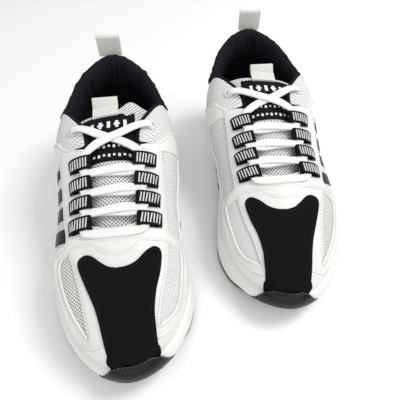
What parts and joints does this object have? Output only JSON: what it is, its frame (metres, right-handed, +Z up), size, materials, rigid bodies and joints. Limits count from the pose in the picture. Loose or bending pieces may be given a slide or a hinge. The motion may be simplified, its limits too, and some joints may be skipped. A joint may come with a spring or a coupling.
{
  "type": "pair of cheer shoes",
  "caption": "Low white cheer shoes with mesh sides, sewn overlays, a black toe panel, webbing lace loops, flat laces and pull tabs.",
  "frame": {"origin": "centre of the base of the pair's bounding box, on the ground", "axes": "+Z up, toes towards -Y, +X from the right shoe to the left one"},
  "size_m": [0.2556, 0.3416, 0.1294],
  "materials": {
    "sole_rubber": "gloss moulded rubber",
    "sole_foam": "moulded foam, satin",
    "board": "fibre board",
    "insole_cloth": "knit over foam",
    "mesh": "open mesh knit",
    "stiffener": "thin moulded board",
    "lining": "knit",
    "padding": "soft foam",
    "leather": "smooth, satin",
    "suede": "black nubuck",
    "stripe": "black film",
    "loop_webbing": "black webbing with white bars",
    "eyelet": "white ring",
    "lace": "flat woven",
    "aglet": "clear plastic over lace",
    "label": "woven label",
    "tab_webbing": "cream webbing"
  },
  "bodies": {
    "right_shoe": {"right_outsole": "sole_rubber", "right_midsole": "sole_foam", "right_insole_board": "board", "right_insole": "insole_cloth", "right_vamp_mesh": "mesh", "right_lateral_quarter_mesh": "mesh", "right_medial_quarter_mesh": "mesh", "right_heel_counter": "stiffener", "right_toe_puff": "stiffener", "right_lining": "lining", "right_collar_foam": "padding", "right_collar_lining": "lining", "right_vamp_overlay": "leather", "right_eyestay": "leather", "right_lateral_overlay": "leather", "right_medial_overlay": "leather", "right_heel_overlay": "leather", "right_toe_panel": "suede", "right_throat_patch": "leather", "right_side_stripes": "stripe", "right_lace_loops": "loop_webbing", "right_eyelets": "eyelet", "right_lace": "lace", "right_aglets": "aglet"},
    "right_tongue": {"right_tongue": "mesh", "right_tongue_label": "label"},
    "right_tongue_tab": {"right_tongue_tab": "tab_webbing"},
    "right_heel_tab": {"right_heel_tab": "tab_webbing"},
    "left_shoe": {"left_outsole": "sole_rubber", "left_midsole": "sole_foam", "left_insole_board": "board", "left_insole": "insole_cloth", "left_vamp_mesh": "mesh", "left_lateral_quarter_mesh": "mesh", "left_medial_quarter_mesh": "mesh", "left_heel_counter": "stiffener", "left_toe_puff": "stiffener", "left_lining": "lining", "left_collar_foam": "padding", "left_collar_lining": "lining", "left_vamp_overlay": "leather", "left_eyestay": "leather", "left_lateral_overlay": "leather", "left_medial_overlay": "leather", "left_heel_overlay": "leather", "left_toe_panel": "suede", "left_throat_patch": "leather", "left_side_stripes": "stripe", "left_lace_loops": "loop_webbing", "left_eyelets": "eyelet", "left_lace": "lace", "left_aglets": "aglet"},
    "left_tongue": {"left_tongue": "mesh", "left_tongue_label": "label"},
    "left_tongue_tab": {"left_tongue_tab": "tab_webbing"},
    "left_heel_tab": {"left_heel_tab": "tab_webbing"}
  },
  "joints": [
    {"name": "left_shoe_lift", "type": "slide", "parent": "right_shoe", "child": "left_shoe", "axis": [0, 0, 1], "range_m": [0, 0.12]},
    {"name": "right_tongue_tilt", "type": "hinge", "parent": "right_shoe", "child": "right_tongue", "pos_m": [-0.05978, -0.08308, 0.0582], "axis": [0.9914, 0.1305, 0], "range_deg": [-12, 0], "stiffness_Nm_per_rad": 3},
    {"name": "right_tongue_tab_swing", "type": "hinge", "parent": "right_tongue", "child": "right_tongue_tab", "pos_m": [-0.07553, 0.0366, 0.09899], "axis": [0.9914, 0.1305, 0], "range_deg": [-20, 55], "stiffness_Nm_per_rad": 0.03},
    {"name": "right_heel_tab_swing", "type": "hinge", "parent": "right_shoe", "child": "right_heel_tab", "pos_m": [-0.08476, 0.10668, 0.1109], "axis": [0.9914, 0.1305, 0], "range_deg": [-60, 12], "stiffness_Nm_per_rad": 0.03},
    {"name": "left_tongue_tilt", "type": "hinge", "parent": "left_shoe", "child": "left_tongue", "pos_m": [0.07182, -0.02834, 0.0582], "axis": [0.9962, 0.0872, 0], "range_deg": [-12, 0], "stiffness_Nm_per_rad": 3},
    {"name": "left_tongue_tab_swing", "type": "hinge", "parent": "left_tongue", "child": "left_tongue_tab", "pos_m": [0.0613, 0.09191, 0.09899], "axis": [0.9962, 0.0872, 0], "range_deg": [-20, 55], "stiffness_Nm_per_rad": 0.03},
    {"name": "left_heel_tab_swing", "type": "hinge", "parent": "left_shoe", "child": "left_heel_tab", "pos_m": [0.05513, 0.16233, 0.1109], "axis": [0.9962, 0.0872, 0], "range_deg": [-60, 12], "stiffness_Nm_per_rad": 0.03}
  ]
}
